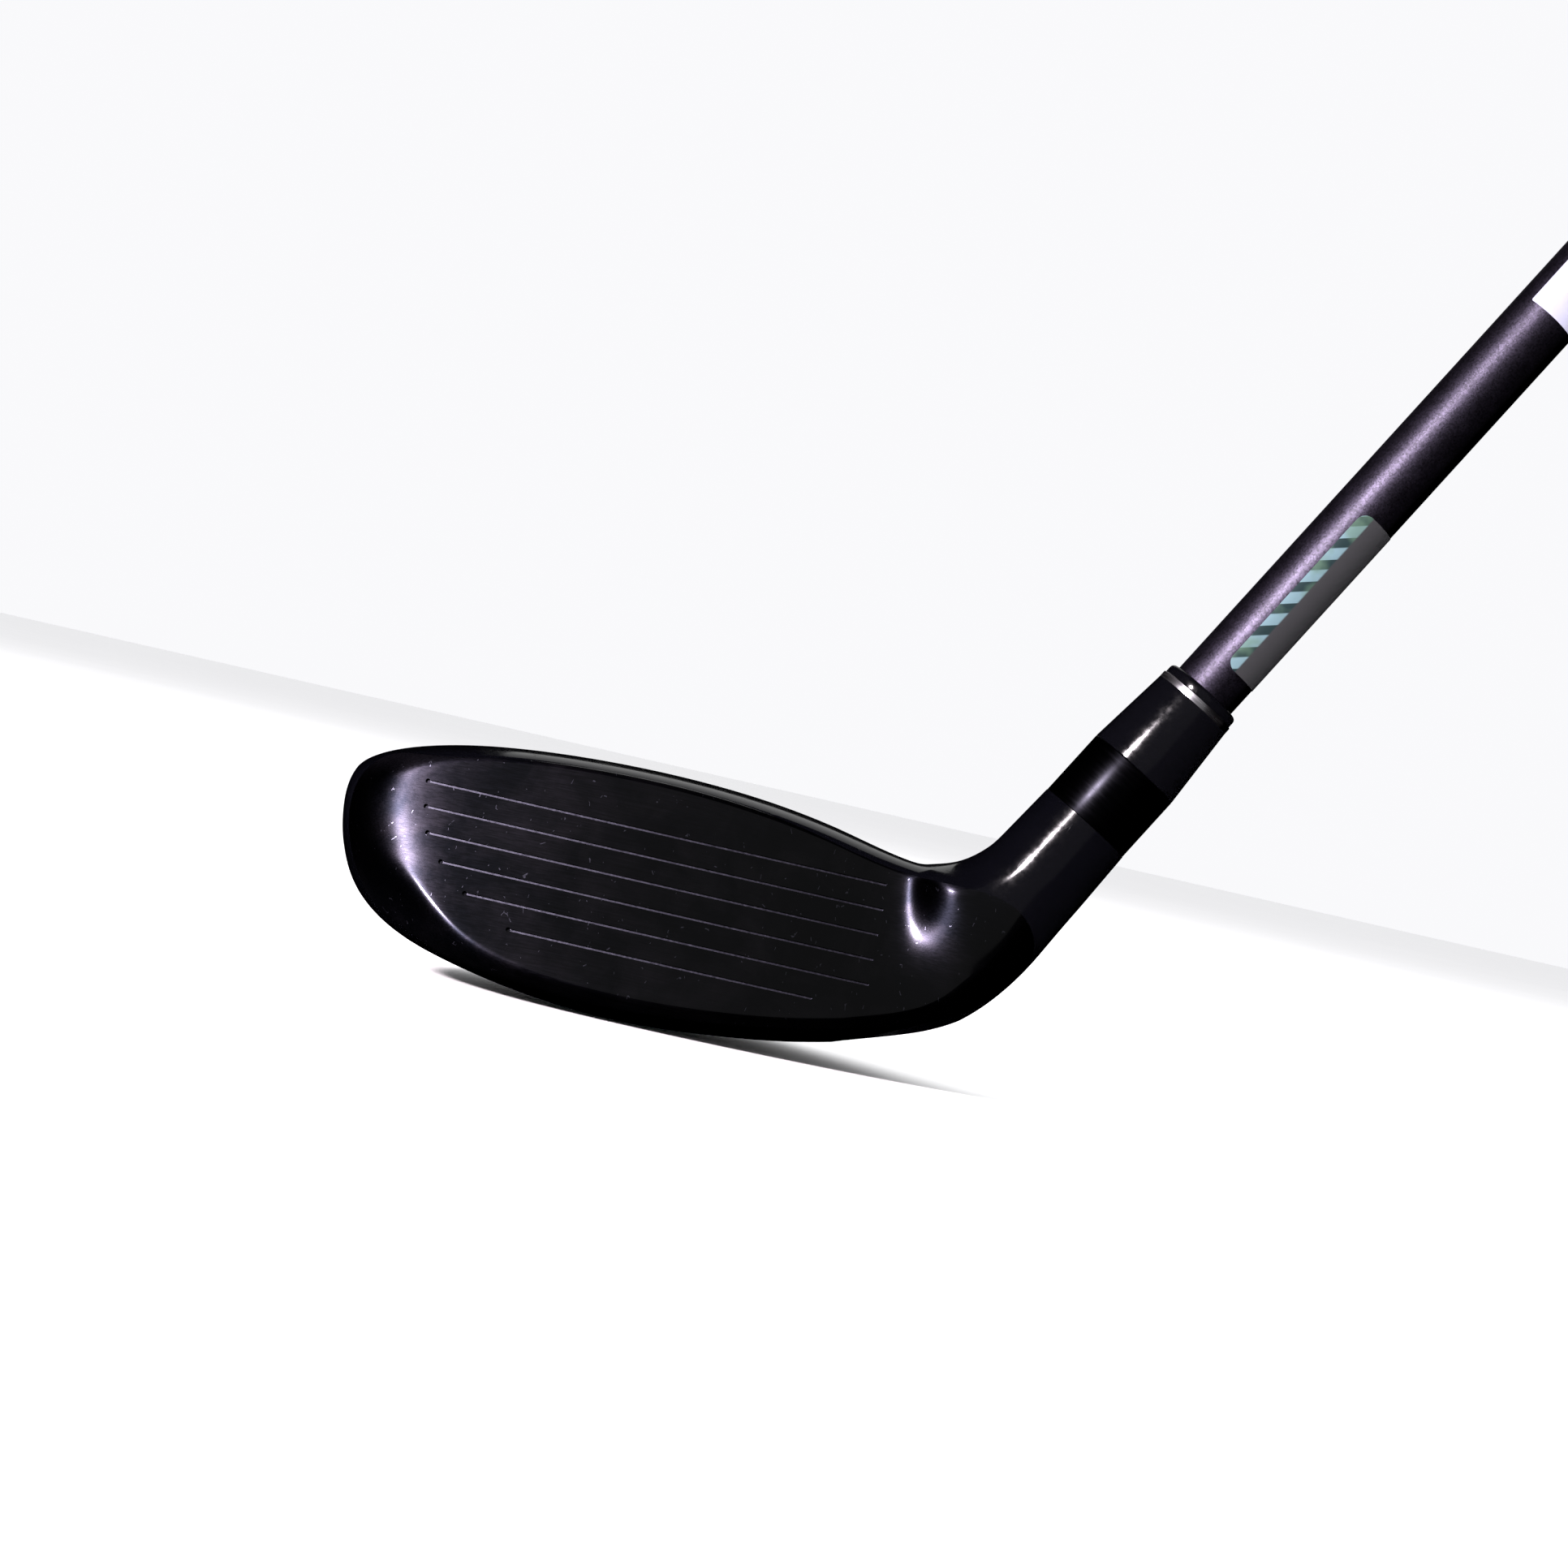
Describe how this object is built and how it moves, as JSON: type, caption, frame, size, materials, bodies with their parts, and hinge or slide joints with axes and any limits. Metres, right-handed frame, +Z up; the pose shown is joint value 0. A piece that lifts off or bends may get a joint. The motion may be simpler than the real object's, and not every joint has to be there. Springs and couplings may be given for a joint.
{
  "type": "hybrid golf club",
  "caption": "Right-handed hybrid golf club with an adjustable hosel: hollow head, brushed face, graphite shaft and rubber grip.",
  "frame": {"origin": "lowest point of the sole, in the plane of the shaft's axis", "axes": "+Z up with the club at address, +X from toe to heel, -Y towards the target"},
  "size_m": [0.5884, 0.0611, 0.8902],
  "materials": {
    "gloss_black_paint": "steel body painted gloss black",
    "brushed_dark_steel": "brushed, dark coated",
    "bare_steel": "bare satin steel",
    "weight_metal": "tungsten weight, as cast",
    "zinc_steel": "bright zinc plated",
    "satin_black_anodising": "satin black anodised",
    "clear_anodising": "clear anodised",
    "gloss_black_plastic": "polished black",
    "polished_aluminium": "polished",
    "satin_graphite": "satin charcoal paint over graphite",
    "nylon": "natural nylon",
    "hologram_film": "holographic film, blank",
    "white_decal": "gloss white",
    "paper_tape": "paper masking tape",
    "grip_rubber": "matt moulded rubber"
  },
  "bodies": {
    "head": {"head_body": "gloss_black_paint", "face_cup": "brushed_dark_steel", "crown": "gloss_black_paint", "sole_badge": "bare_steel", "toe_badge": "bare_steel", "sole_weight": "weight_metal", "screw_washer": "zinc_steel"},
    "screw": {"hosel_screw": "zinc_steel", "screw_retainer": "zinc_steel"},
    "ring": {"loft_ring": "satin_black_anodising"},
    "shaft_assembly": {"adapter_sleeve": "clear_anodising", "ferrule": "gloss_black_plastic", "ferrule_trim": "polished_aluminium", "ferrule_cap": "gloss_black_plastic", "shaft": "satin_graphite", "tip_plug": "nylon", "shaft_label": "hologram_film", "shaft_decal": "white_decal", "grip_tape": "paper_tape", "grip": "grip_rubber", "grip_cap": "grip_rubber"}
  },
  "joints": [
    {"name": "screw_turn", "type": "hinge", "parent": "head", "child": "screw", "pos_m": [0.04034, 0, 0.0121], "axis": [-0.4924, 0, -0.8704], "range_deg": [0, 4320]},
    {"name": "shaft_lift", "type": "slide", "parent": "head", "child": "shaft_assembly", "axis": [0.4924, 0, 0.8704], "range_m": [0, 0.0096]},
    {"name": "ring_lift", "type": "slide", "parent": "head", "child": "ring", "axis": [0.4924, 0, 0.8704], "range_m": [0, 0.0048]}
  ],
  "couplings": [
    {"joint": "screw_turn", "follows": "shaft_lift", "rad_per_m": 7854},
    {"joint": "ring_lift", "follows": "shaft_lift", "ratio": 0.5}
  ]
}
